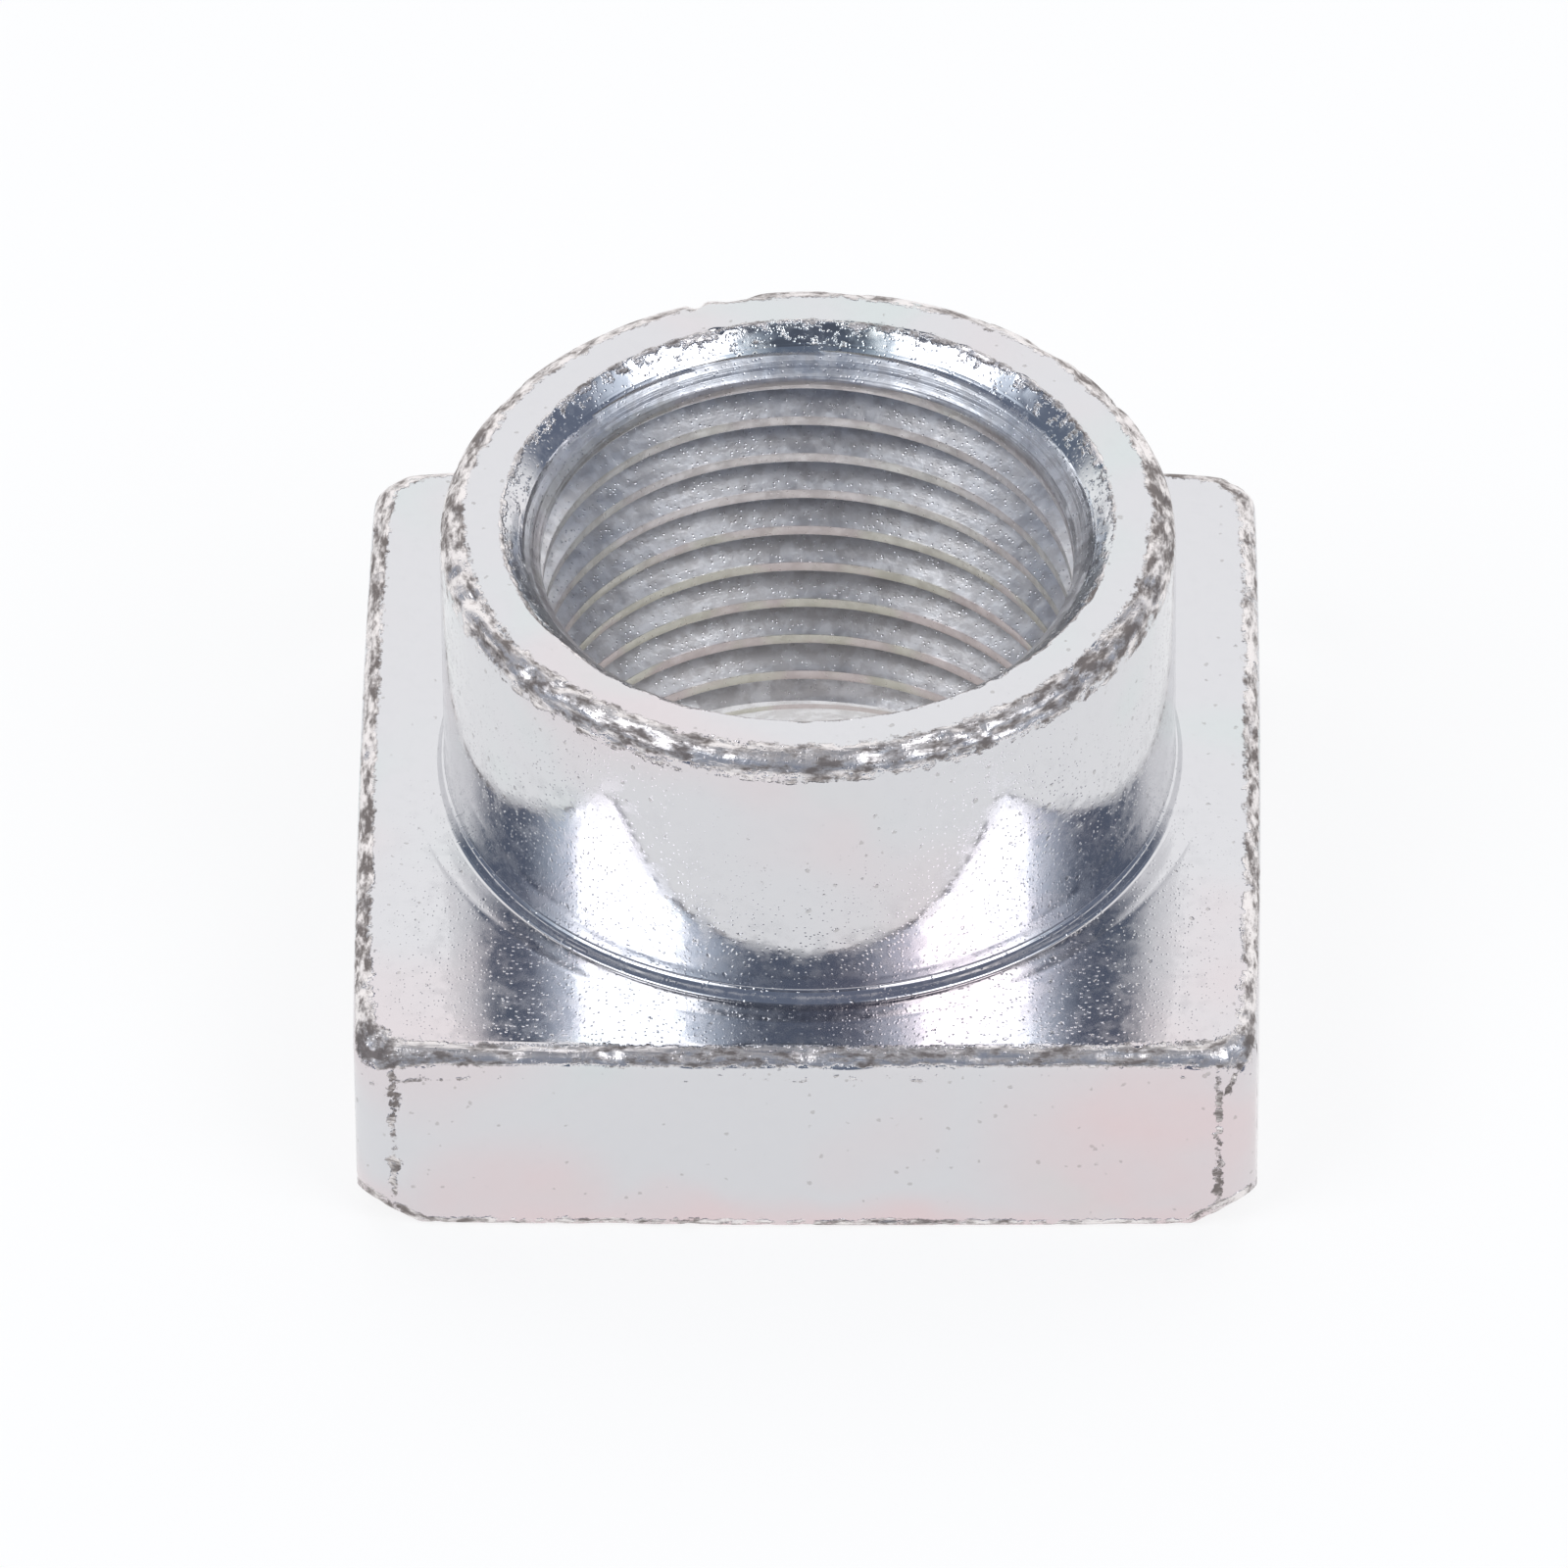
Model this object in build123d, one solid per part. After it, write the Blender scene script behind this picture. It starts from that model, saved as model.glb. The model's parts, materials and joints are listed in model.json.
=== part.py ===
from build123d import *

import math
import os

# Threaded nut in one piece: a square flange with a round collar on it, bored right through for a
# right-hand metric fine thread. Sizes are in millimetres. The origin is the centre of the bore on
# the flange's flat bottom face, and +Z runs up through the collar.

# Square flange
flange_width = 28.0             # across the middles of two opposite sides
flange_thickness = 7.1
side_bow = 0.15                 # a side's middle stands out this far past its two ends
corner_round = 1.2              # upright corners, seen from above
top_edge_round = 0.6
bottom_edge_round = 0.35

# Cone turned on the four bottom corners
bearing_circle_margin = 4.15    # the bottom face's turned circle lies this far outside the sides
corner_cone_angle = 45.0        # the cone's rise from the bottom face, in degrees

# Round collar
collar_diameter = 22.7
collar_height = 9.75
rim_round = 0.85                # outer edge of the collar's end
foot_fillet = 0.3               # hollow round where the wall meets the flange

# Thread, bored at its crest diameter
thread_diameter = 18.0
thread_pitch = 1.5

# Mouth in the collar's end: a bevel, then a steeper lead-in down to the thread's crests
mouth_oversize = 0.9            # mouth diameter over thread diameter
mouth_bevel = 0.55              # radial width of the 45 degree bevel
lead_in_depth = 0.9

# Countersink at the flange's bottom face
countersink_oversize = 0.9      # countersink diameter over thread diameter
countersink_angle = 60.0        # included angle, in degrees

# Room past an end face for a cutting shape, so that no two faces coincide
cut_past = 1.0

# Worked out from the sizes above
overall_height = flange_thickness + collar_height
half_width = flange_width / 2
corner_half = half_width - side_bow
collar_radius = collar_diameter / 2
thread_depth = 5 / 8 * math.sqrt(3) / 2 * thread_pitch
bore_radius = thread_diameter / 2 - thread_depth
mouth_radius = (thread_diameter + mouth_oversize) / 2
countersink_radius = (thread_diameter + countersink_oversize) / 2
countersink_depth = (countersink_radius - bore_radius) / math.tan(math.radians(countersink_angle / 2))
bearing_radius = half_width + bearing_circle_margin
blank_radius = half_width * math.sqrt(2)
cone_height = (blank_radius - bearing_radius) * math.tan(math.radians(corner_cone_angle))


def flange_outline():
    """Square with four slightly bowed sides and rounded corners, seen from above."""
    corners = [
        (corner_half, -corner_half),
        (corner_half, corner_half),
        (-corner_half, corner_half),
        (-corner_half, -corner_half),
    ]
    middles = [(half_width, 0), (0, half_width), (-half_width, 0), (0, -half_width)]
    sides = [
        ThreePointArc(corners[side], middles[side], corners[(side + 1) % len(corners)])
        for side in range(len(corners))
    ]
    outline = make_face(sides)
    return fillet(outline.vertices(), corner_round)


def turned_blank():
    """Body of revolution that the flange is turned inside: a cone takes off its bottom corners."""
    section = make_face(
        Polyline(
            (0, 0),
            (bearing_radius, 0),
            (blank_radius, cone_height),
            (blank_radius, flange_thickness + cut_past),
            (0, flange_thickness + cut_past),
            close=True,
        )
    )
    return revolve(Plane.XZ * section, Axis.Z)


def square_flange():
    """Forged flange with its top and bottom edges rounded and its bottom corners turned off."""
    flange = extrude(flange_outline(), flange_thickness)
    flange = fillet(flange.faces().sort_by(Axis.Z)[-1].edges(), top_edge_round)
    flange = fillet(flange.faces().sort_by(Axis.Z)[0].edges(), bottom_edge_round)
    return flange & turned_blank()


def round_collar():
    """Collar with its rim rounded, standing from the flange's middle height to the nut's end."""
    root = flange_thickness / 2
    height = overall_height - root
    collar = Pos(0, 0, root + height / 2) * Cylinder(collar_radius, height)
    return fillet(collar.edges().sort_by(Axis.Z)[-1], rim_round)


def bore():
    """Space inside the nut: countersink, crest bore, lead-in and bevelled mouth, past both ends."""
    section = make_face(
        Polyline(
            (0, -cut_past),
            (countersink_radius, -cut_past),
            (countersink_radius, 0),
            (bore_radius, countersink_depth),
            (bore_radius, overall_height - mouth_bevel - lead_in_depth),
            (mouth_radius - mouth_bevel, overall_height - mouth_bevel),
            (mouth_radius, overall_height),
            (mouth_radius, overall_height + cut_past),
            (0, overall_height + cut_past),
            close=True,
        )
    )
    return revolve(Plane.XZ * section, Axis.Z)


def foot_edge(body):
    """The circle where the collar's wall meets the flange's top face."""
    circles = body.edges().filter_by(GeomType.CIRCLE).filter_by(
        lambda edge: abs(edge.center().Z - flange_thickness) < foot_fillet / 2
        and abs(edge.radius - collar_radius) < foot_fillet / 2
    )
    return circles


def nut():
    """Flange and collar as one forging, filleted at the collar's foot and bored through."""
    body = square_flange() + round_collar()
    body = fillet(foot_edge(body), foot_fillet)
    return body - bore()


os.makedirs("parts", exist_ok=True)
export_step(nut(), "parts/nut.step")
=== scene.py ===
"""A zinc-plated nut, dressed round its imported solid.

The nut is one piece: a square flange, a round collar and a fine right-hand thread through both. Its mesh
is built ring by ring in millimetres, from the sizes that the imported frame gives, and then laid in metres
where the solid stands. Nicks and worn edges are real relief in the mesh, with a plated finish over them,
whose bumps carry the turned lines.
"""

from __future__ import annotations

import json
import logging
import math
from dataclasses import dataclass, field
from enum import IntEnum
from typing import ClassVar

import bpy
import numpy as np
from mathutils import Matrix, Vector


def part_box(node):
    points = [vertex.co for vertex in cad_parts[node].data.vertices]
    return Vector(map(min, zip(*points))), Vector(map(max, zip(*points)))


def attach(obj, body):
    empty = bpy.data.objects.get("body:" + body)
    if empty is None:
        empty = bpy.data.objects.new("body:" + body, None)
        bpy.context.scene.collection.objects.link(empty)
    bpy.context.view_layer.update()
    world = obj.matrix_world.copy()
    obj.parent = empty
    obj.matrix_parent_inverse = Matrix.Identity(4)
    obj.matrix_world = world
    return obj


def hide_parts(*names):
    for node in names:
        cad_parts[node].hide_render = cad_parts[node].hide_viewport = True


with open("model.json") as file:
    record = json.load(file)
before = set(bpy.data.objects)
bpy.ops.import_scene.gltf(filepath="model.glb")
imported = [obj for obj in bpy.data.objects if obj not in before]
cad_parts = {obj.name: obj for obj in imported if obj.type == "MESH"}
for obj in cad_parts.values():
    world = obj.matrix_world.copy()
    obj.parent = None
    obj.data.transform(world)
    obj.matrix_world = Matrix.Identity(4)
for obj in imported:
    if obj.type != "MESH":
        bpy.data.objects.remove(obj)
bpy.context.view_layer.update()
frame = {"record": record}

log = logging.getLogger("nut")

Array = np.ndarray
Colour = tuple[float, float, float, float]
Socket = bpy.types.NodeSocket

MM = 0.001
NODE = "nut"
BODY = "root"


def smooth(low: float, high: float, value: Array) -> Array:
    """Soft step from 0 at low to 1 at high.

    Args:
        low: Where the step begins.
        high: Where it ends. It may lie below low, for a step that falls.
        value: What is stepped.

    Returns:
        The step, from 0 to 1, in value's shape.
    """
    share = np.clip((value - low) / (high - low), 0.0, 1.0)
    return share * share * (3.0 - 2.0 * share)


def rounded_max(first: Array, second: Array, blend: float) -> Array:
    """The larger of two values, with the crossing rounded off.

    Args:
        first: One value for each point.
        second: The other.
        blend: How far apart the two still round each other off.

    Returns:
        The larger value, a little more near the crossing.
    """
    near = np.maximum(blend - np.abs(first - second), 0.0)
    return np.maximum(first, second) + near * near / (4.0 * blend)


def grain(points: Array, cell: float, seed: int) -> Array:
    """A smooth random field in space, the same on every run.

    Args:
        points: Places in millimetres, with x, y and z last.
        cell: Size of the field's features in millimetres.
        seed: Which field.

    Returns:
        Values from -1 to 1, one for each place.
    """
    side = 32
    lattice = np.random.default_rng(seed).uniform(-1.0, 1.0, (side, side, side))
    place = points / cell
    low = np.floor(place).astype(int)
    share = place - low
    share = share * share * (3.0 - 2.0 * share)
    total = np.zeros(points.shape[:-1])
    for corner in np.ndindex(2, 2, 2):
        weight = np.prod(np.where(corner, share, 1.0 - share), axis=-1)
        index = (low + corner) % side
        total += weight * lattice[index[..., 0], index[..., 1], index[..., 2]]
    return total


def worn_round(degrees: float, low: float) -> float:
    """How worn a rounded edge is: most along its middle, raggedly at both borders.

    Args:
        degrees: How far up the round, from 0 to 90.
        low: How worn it is at its lower border.

    Returns:
        The wear, about 1 where hardly any plate is left.
    """
    places = (0, 10, 28, 50, 62, 74, 83, 90)
    wears = (low, 0.2 + 0.8 * low, 1.16, 1.34, 1.28, 1.06, 0.84, 0.64)
    return float(np.interp(degrees, places, wears))


@dataclass(frozen=True)
class NutSizes:
    """Sizes of the nut in millimetres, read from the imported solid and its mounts."""

    half_width: float
    height: float
    flange: float
    collar: float
    crest: float
    shaft_top: float
    shaft_bottom: float
    bow: float = 0.15
    corner: float = 1.2
    edge_round: float = 0.6
    corner_edge_round: float = 1.1
    bottom_round: float = 0.3
    cone_margin: float = 4.15
    cone_angle: float = 45.0
    rim_round: float = 0.85
    foot_height: float = 0.44
    foot_width: float = 0.26
    pitch: float = 1.5
    root_over_crest: float = 5 / 8 * math.sqrt(3) / 2
    mouth_over_root: float = 0.45
    bevel: float = 0.55
    first_crest_depth: float = 1.75
    run_out: float = 0.45
    mouth_land: float = 0.25
    turned_ring: float = 1.25
    seam_depth: float = 0.14

    @property
    def root(self) -> float:
        """Radius at the thread's roots."""
        return self.crest + self.root_over_crest * self.pitch

    @property
    def mouth(self) -> float:
        """Radius of the mouth in the collar's end, and of the countersink below."""
        return self.root + self.mouth_over_root

    @property
    def lead_in(self) -> float:
        """Height at which the mouth's bevel ends and the lead-in begins."""
        return self.height - self.bevel

    @property
    def seam_height(self) -> float:
        """Height at which the outer rings end and the thread's rows begin, a little way down the lead-in."""
        return self.lead_in - self.seam_depth

    def lead_in_radius(self, height: Array | float) -> Array | float:
        """Radius of the lead-in's cone at a height."""
        slope = (self.mouth - self.bevel - self.crest) / (self.lead_in - self.shaft_top)
        return self.crest + (height - self.shaft_top) * slope

    @classmethod
    def from_frame(cls) -> NutSizes:
        """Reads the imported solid's box and mounts.

        Returns:
            The sizes that they give, with the rest as they stand above.
        """
        low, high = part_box(NODE)
        mounts = {mount["name"]: mount for mount in frame["record"]["mounts"]}
        thread, collar = mounts["thread"], mounts["collar"]
        middle = thread["pos_m"][2] / MM
        half_length = thread["dims"]["length_mm"] / 2
        return cls(
            half_width=min(high.x, high.y, -low.x, -low.y) / MM,
            height=high.z / MM,
            flange=mounts["flange_shoulder"]["pos_m"][2] / MM,
            collar=collar["dims"]["r_mm"],
            crest=thread["dims"]["r_mm"],
            shaft_top=middle + half_length,
            shaft_bottom=middle - half_length,
        )


class Columns:
    """The flange's outline seen from above, which every ring of the mesh follows."""

    # How far the points crowd towards a side's ends, as an angle of a sine.
    CROWDING = 0.3 * math.pi
    # How plain the knocked line at each end of a corner is, and its half width in millimetres.
    SEAM_STRENGTH = 0.84
    SEAM_WIDTH = 0.22
    # How sharply the corners stand apart from the sides.
    CORNER_POWER = 12

    def __init__(self, sizes: NutSizes, on_side: int = 140, on_corner: int = 20) -> None:
        """Lays points along four bowed sides and four rounded corners.

        Args:
            sizes: The nut's sizes.
            on_side: Points on each side, an even number.
            on_corner: Points on each corner, an even number.
        """
        half, bow, corner = sizes.half_width, sizes.bow, sizes.corner
        end = half - bow
        sweep = (end * end + bow * bow) / (2 * bow)
        back = sweep - half
        inner = sweep - corner
        reach = (-back + math.sqrt(2 * inner * inner - back * back)) / 2
        lean = math.atan2(reach, reach + back)
        side = lean * np.sin(self.middles(on_side) * self.CROWDING) / math.sin(self.CROWDING)
        arc = math.pi / 4 + (math.pi / 4 - lean) * self.middles(on_corner)
        normal = np.concatenate([side, arc])
        x = np.where(normal < lean, sweep * np.cos(normal) - back, reach + corner * np.cos(normal))
        y = np.where(normal < lean, sweep * np.sin(normal), reach + corner * np.sin(normal))
        to_arc = np.minimum(np.hypot(x - reach - corner, y - reach), np.hypot(x - reach, y - reach - corner))
        start_arc = np.hypot(x - reach - corner, y + reach)
        seam = self.SEAM_STRENGTH * np.exp(-(np.minimum(to_arc, start_arc) / self.SEAM_WIDTH) ** 2)
        points, normals = [], []
        for quarter in range(4):
            cosine, sine = (1, 0, -1, 0)[quarter], (0, 1, 0, -1)[quarter]
            turn = np.array([[cosine, sine], [-sine, cosine]])
            points.append(np.stack([x, y], axis=1) @ turn)
            normals.append(np.stack([np.cos(normal), np.sin(normal)], axis=1) @ turn)
        self.points = np.concatenate(points)
        self.normals = np.concatenate(normals)
        self.angles = np.arctan2(self.points[:, 1], self.points[:, 0])
        self.radii = np.hypot(self.points[:, 0], self.points[:, 1])
        self.count = len(self.points)
        nearer = np.abs(self.points).min(axis=1)
        self.corner_share = np.clip(nearer / (end - corner / 2), 0.0, 1.0) ** self.CORNER_POWER
        self.seam_share = np.tile(seam, 4)
        self.front_share = smooth(0.2, 0.8, -self.normals[:, 1])

    @staticmethod
    def middles(count: int) -> Array:
        """Middles of equal steps from -1 to 1."""
        return (np.arange(count) + 0.5) / count * 2 - 1

    def circle(self, radius: float) -> Array:
        """Points of a circle about the bore, one on each column's line of sight from it."""
        return radius * np.stack([np.cos(self.angles), np.sin(self.angles)], axis=1)

    def inset(self, depth: Array | float) -> Array:
        """The outline moved inwards, square to itself."""
        return self.points - self.normals * np.broadcast_to(depth, (self.count,))[:, None]


@dataclass
class Rings:
    """Rings of points, from the countersink round the outside to the mouth, with what wears where."""

    rows: list[tuple[Array, ...]] = field(default_factory=list)

    def add(
        self,
        plan: Array,
        height: Array | float,
        wear: Array | float = 0.0,
        turned: float = 0.0,
        knocked: Array | float = 0.0,
    ) -> None:
        """Adds one ring.

        Args:
            plan: x and y of its points.
            height: z of its points, or of them all.
            wear: How worn the edge is there, from 0 to 1.
            turned: How plainly the lathe's lines show there, from 0 to 1.
            knocked: How knocked about the surface is there, from 0 to 1.
        """
        count = len(plan)
        looks = (np.broadcast_to(value, (count,)).astype(float) for value in (wear, turned, knocked))
        self.rows.append((np.column_stack([plan, np.broadcast_to(height, (count,))]), *looks))

    def stacked(self) -> tuple[Array, ...]:
        """Places, wear, turned lines and knocks as arrays, one row for each ring."""
        return tuple(np.stack(values) for values in zip(*self.rows))


class Flange:
    """The square flange: flat bottom, turned corners, upright sides and rounded top edge."""

    # Height in millimetres from the cone's upper edge to the upright sides' lowest ring.
    CONE_EDGE = 0.3
    # Distance in millimetres over which the cone and the bottom's round blend.
    CONE_BLEND = 0.12
    # Angles in degrees at which rings lie round the top edge.
    TOP_EDGE = (0, 7, 14, 22, 31, 41, 51, 60, 68, 75, 83, 90)

    # Shares of the upright sides' height at which rings lie, closest where the corners' nicks are.
    UPRIGHT = (0.01, 0.05, 0.13, 0.22, 0.28, 0.32, 0.36, 0.40, 0.44, 0.52)
    UPRIGHT += (0.60, 0.68, 0.75, 0.80, 0.84, 0.88, 0.91, 0.94, 0.98)

    # Wear of the upright sides at shares of their height: along the bottom edge, and on a line near the top.
    UPRIGHT_WEAR = ((0.0, 0.01, 0.05, 0.90, 0.93, 1.0), (0.95, 0.8, 0.0, 0.0, 0.55, 0.5))

    def __init__(self, sizes: NutSizes, columns: Columns) -> None:
        """Works out the corners' cone and the height at which the upright sides begin.

        Args:
            sizes: The nut's sizes.
            columns: The columns that the rings follow.
        """
        self.sizes = sizes
        self.columns = columns
        self.slope = math.tan(math.radians(sizes.cone_angle))
        self.circle = sizes.half_width + sizes.cone_margin
        share = columns.corner_share
        self.edge = sizes.edge_round + (sizes.corner_edge_round - sizes.edge_round) * share
        clean = (columns.radii - self.circle) * self.slope + self.CONE_EDGE
        self.low = np.maximum(sizes.bottom_round, clean)

    def bottom_inset(self, height: Array) -> Array:
        """How far the outline draws in near the bottom face.

        Args:
            height: z of each column's point.

        Returns:
            The inset of each column, from the bottom's round and the turned cone together.
        """
        radius = self.sizes.bottom_round
        below = np.clip(radius - height, 0.0, radius)
        rounded = radius - np.sqrt(radius * radius - below * below)
        out = (self.columns.points * self.columns.normals).sum(axis=1)
        reach = self.circle + height / self.slope
        along = self.columns.radii ** 2 - out ** 2
        turned = out - np.sqrt(np.maximum(reach * reach - along, 0.0))
        return rounded_max(rounded, turned, self.CONE_BLEND)

    def build(self, rings: Rings) -> None:
        """Adds the flange's rings, from the countersink to the plate round the collar's foot.

        Args:
            rings: Where they are added.
        """
        columns, sizes = self.columns, self.sizes
        flat = columns.inset(self.bottom_inset(np.zeros(columns.count)))
        start = columns.circle(sizes.mouth + sizes.mouth_land)
        rings.add(columns.circle(sizes.mouth), 0.0, 0.3)
        for share in (0.0, 0.35, 0.7, 0.93):
            rings.add(start + (flat - start) * share, 0.0, 0.0, 0.4)
        steps = 8
        for step in range(steps + 1):
            height = self.low * (1 - math.cos(step / steps * math.pi / 2))
            rings.add(columns.inset(self.bottom_inset(height)), height, 0.6 + 0.35 * step / steps)
        top = sizes.flange - self.edge
        for share in self.UPRIGHT:
            wear = float(np.interp(share, *self.UPRIGHT_WEAR))
            rings.add(columns.points, self.low + (top - self.low) * share, wear, knocked=columns.seam_share)
        exposed = 0.96 + 0.08 * np.maximum(columns.front_share, columns.corner_share)
        exposed = exposed - 0.1 * smooth(0.2, 0.8, columns.normals[:, 0])
        for degrees in self.TOP_EDGE:
            turn = math.radians(degrees)
            height = sizes.flange - self.edge * (1 - math.sin(turn))
            knocked = columns.seam_share * (1 - degrees / 90)
            plan = columns.inset(self.edge * (1 - math.cos(turn)))
            rings.add(plan, height, worn_round(degrees, 0.25) * exposed, knocked=knocked)
        edge = columns.inset(self.edge)
        outer = columns.circle(sizes.collar + sizes.turned_ring)
        for share, wear in ((0.03, 0.45), (0.10, 0.1), (0.4, 0.0), (0.7, 0.0), (1.0, 0.0)):
            rings.add(edge + (outer - edge) * share, sizes.flange, wear * exposed, 0.5 * share)


class Collar:
    """The round collar: foot, wall, rounded rim, flat end and bevelled mouth."""

    # Angles in degrees at which rings lie round the rim, and shares of the wall's height at which they lie.
    RIM = (0, 7, 14, 22, 30, 39, 48, 57, 65, 72, 78, 84, 90)
    WALL = (0.12, 0.28, 0.44, 0.6, 0.76, 0.88)

    def __init__(self, sizes: NutSizes, columns: Columns) -> None:
        """Keeps the sizes and the columns that the rings follow."""
        self.sizes = sizes
        self.columns = columns

    def section(self) -> list[tuple[float, float, float, float]]:
        """Lays out the rings, from the foot to the lead-in's top.

        Returns:
            Radius, height, wear and turned lines of each ring.
        """
        sizes = self.sizes
        wall, floor, top = sizes.collar, sizes.flange, sizes.height
        foot, wide = sizes.foot_height, sizes.foot_width
        rows = [
            (wall + 1.10, floor - 0.004, 0.0, 1.0),
            (wall + 1.02, floor - 0.014, 0.0, 1.0),
            (wall + 0.94, floor - 0.002, 0.0, 1.0),
            (wall + 0.62, floor, 0.0, 1.0),
            (wall + wide + 0.08, floor, 0.0, 1.0),
            (wall + wide, floor + 0.006, 0.1, 1.0),
            (wall + wide * 0.86, floor + 0.032, 0.15, 1.0),
            (wall + wide * 0.74, floor + 0.085, 0.1, 1.0),
            (wall + wide * 0.52, floor + foot * 0.52, 0.0, 1.0),
            (wall + wide * 0.34, floor + foot * 0.80, 0.05, 1.0),
            (wall + wide * 0.24, floor + foot * 0.865, 0.1, 1.0),
            (wall + wide * 0.10, floor + foot * 0.90, 0.1, 1.0),
            (wall + wide * 0.02, floor + foot * 0.97, 0.0, 0.6),
            (wall, floor + foot * 1.1, 0.0, 0.3),
        ]
        low, high = floor + foot * 1.1, top - sizes.rim_round
        for share in self.WALL:
            rows.append((wall, low + (high - low) * share, 0.0, 0.2))
        rows += [(wall, high - 0.28, 0.1, 0.1), (wall, high - 0.12, 0.5, 0.0)]
        for degrees in self.RIM:
            turn = math.radians(degrees)
            radius = wall - sizes.rim_round * (1 - math.cos(turn))
            height = high + sizes.rim_round * math.sin(turn)
            rows.append((radius, height, worn_round(degrees, 0.75), 0.0))
        flat = wall - sizes.rim_round
        rows += [
            (flat - 0.07, top, 0.5, 0.2),
            (flat - 0.18, top, 0.15, 0.4),
            (flat - 0.45, top, 0.0, 0.6),
            (sizes.mouth + sizes.mouth_land, top, 0.0, 0.6),
            (sizes.mouth + 0.12, top, 0.35, 0.3),
            (sizes.mouth + 0.03, top - 0.01, 0.85, 0.0),
            (sizes.mouth - 0.02, top - 0.04, 0.95, 0.0),
            (sizes.mouth - 0.08, top - 0.09, 0.8, 0.0),
        ]
        for share, wear in ((0.3, 0.68), (0.5, 0.6), (0.7, 0.5), (0.88, 0.55), (0.98, 0.6)):
            rows.append((sizes.mouth - sizes.bevel * share, top - sizes.bevel * share, wear, 0.5))
        for depth in (0.04, sizes.lead_in - sizes.seam_height):
            height = sizes.lead_in - depth
            rows.append((sizes.lead_in_radius(height), height, 0.4, 4.0))
        return rows

    def build(self, rings: Rings) -> None:
        """Adds the collar's rings, each a circle."""
        for radius, height, wear, turned in self.section():
            rings.add(self.columns.circle(radius), height, wear, turned)


@dataclass(frozen=True)
class Nick:
    """A dent knocked into an edge, in millimetres."""

    x: float
    y: float
    z: float
    across: float
    upright: float
    depth: float

    def share(self, places: Array) -> Array:
        """Says how deep in the nick each place lies.

        Args:
            places: Points in millimetres, with x, y and z last.

        Returns:
            0 outside the nick, and up to 1 at its middle.
        """
        reach = np.array([self.across, self.across, self.upright])
        away = (places - np.array([self.x, self.y, self.z])) / reach
        return np.clip(1 - (away ** 2).sum(axis=-1), 0.0, 1.0)


NICKS = (
    Nick(-12.62, -14.0, 5.2, 0.42, 0.55, 0.2),
    Nick(-12.66, -14.0, 2.5, 0.42, 0.5, 0.21),
    Nick(-13.35, -13.6, 6.85, 0.34, 0.3, 0.07),
    Nick(13.42, -13.6, 6.4, 0.2, 0.3, 0.1),
    Nick(13.22, -13.74, 6.0, 0.2, 0.32, 0.12),
    Nick(13.02, -13.85, 5.6, 0.18, 0.32, 0.12),
    Nick(12.8, -13.95, 1.7, 0.16, 0.22, 0.06),
    Nick(11.0, 1.2, 16.5, 0.45, 0.4, 0.12),
    Nick(9.0, 6.7, 16.7, 0.45, 0.3, 0.1),
    Nick(-11.0, 2.1, 16.5, 0.45, 0.4, 0.1),
)


class EdgeRelief:
    """Dents, nicks and a slight unevenness, pressed into the rings' points."""

    # Depths in millimetres: dents drawn out along an edge, round dents, and pits where it is knocked about.
    LONG_DENT = 0.12
    DENT = 0.16
    PIT = 0.07
    # Wear beyond this makes the dents no deeper.
    MOST_WEAR = 1.2

    @staticmethod
    def normals(places: Array) -> Array:
        """Works out the outward normals of a grid of rings.

        Args:
            places: Points as rings by columns.

        Returns:
            A vector of length 1 for each point.
        """
        along = np.roll(places, -1, axis=1) - np.roll(places, 1, axis=1)
        across = np.gradient(places, axis=0)
        normal = np.cross(along, across)
        return normal / np.maximum(np.linalg.norm(normal, axis=2, keepdims=True), 1e-9)

    @staticmethod
    def across(places: Array) -> Array:
        """Measures the way from the first ring to each.

        Args:
            places: Points as rings by columns.

        Returns:
            The way in millimetres for each point, the same all along a ring.
        """
        steps = np.linalg.norm(np.diff(places, axis=0), axis=2).mean(axis=1)
        way = np.concatenate([[0.0], np.cumsum(steps)])
        return np.broadcast_to(way[:, None], places.shape[:2])

    def press(self, places: Array, wear: Array, knocked: Array) -> tuple[Array, Array]:
        """Presses the relief into the points.

        Args:
            places: Points of all rings in millimetres.
            wear: How worn each point is.
            knocked: How knocked about it is.

        Returns:
            The points with the relief, none further out than before, and the knocks with the nicks among
            them.
        """
        drawn = np.stack([places[..., 0] * 0.3, places[..., 1] * 0.3, self.across(places)], axis=-1)
        long_dents = np.clip(grain(drawn, 0.36, 11) - 0.05, 0.0, 1.0) ** 1.3 * self.LONG_DENT
        dents = np.clip(grain(places, 0.6, 12) - 0.25, 0.0, 1.0) ** 1.2 * self.DENT
        pits = np.clip(grain(places, 0.8, 13) + 0.1, 0.0, 1.0) * self.PIT
        depth = np.minimum(wear, self.MOST_WEAR) ** 3 * (long_dents + dents) + knocked ** 2 * pits
        for nick in NICKS:
            share = nick.share(places)
            depth += share * nick.depth * (1.0 + 0.5 * grain(places, 0.3, 14))
            knocked = np.maximum(knocked, share ** 0.5)
        return places - self.normals(places) * depth[..., None], knocked


class RowEnd(IntEnum):
    """Where a point of the thread's rows lies between the nut's two ends."""

    BELOW = -1
    WITHIN = 0
    ABOVE = 1


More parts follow.
